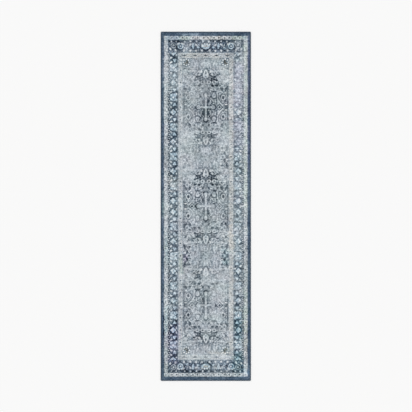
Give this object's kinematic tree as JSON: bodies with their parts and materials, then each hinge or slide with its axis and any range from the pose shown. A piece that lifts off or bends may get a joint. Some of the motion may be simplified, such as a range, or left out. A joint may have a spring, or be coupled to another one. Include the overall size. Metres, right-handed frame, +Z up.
{
  "type": "runner rug",
  "caption": "Long, low-pile woven floor runner with a faded medallion pattern inside striped borders and yarn-overcast edges; it lies flat and covers a hallway floor.",
  "frame": {"origin": "middle of the rug's footprint, on the underside that lies on the floor", "axes": "+X across the runner, +Y along it to the head end (the upper end in a plan view), +Z up out of the pile"},
  "size_m": [0.7874, 3.048, 0.0082],
  "materials": {
    "pile_yarn": "matt cut pile, space-dyed blue-grey, faded",
    "edge_yarn": "matt navy yarn, wound side by side",
    "jute_yarn": "rough natural jute",
    "warp_yarn": "matt off-white cotton and polyester",
    "filler_cord": "matt twisted cotton",
    "latex": "dull dried latex",
    "label_tape": "smooth satin tape, blank",
    "sewing_thread": "polyester sewing thread"
  },
  "bodies": {
    "root": {"cut_pile": "pile_yarn", "upper_weft": "jute_yarn", "stuffer_warp": "warp_yarn", "lower_weft": "jute_yarn", "latex_backcoat": "latex", "edge_cord_right": "filler_cord", "edge_cord_head": "filler_cord", "edge_cord_left": "filler_cord", "edge_cord_foot": "filler_cord", "serging_right": "edge_yarn", "serging_head": "edge_yarn", "serging_left": "edge_yarn", "serging_foot": "edge_yarn", "corner_wrap_head_right": "edge_yarn", "corner_wrap_head_left": "edge_yarn", "corner_wrap_foot_left": "edge_yarn", "corner_wrap_foot_right": "edge_yarn", "care_label": "label_tape", "label_stitching": "sewing_thread"}
  },
  "joints": []
}
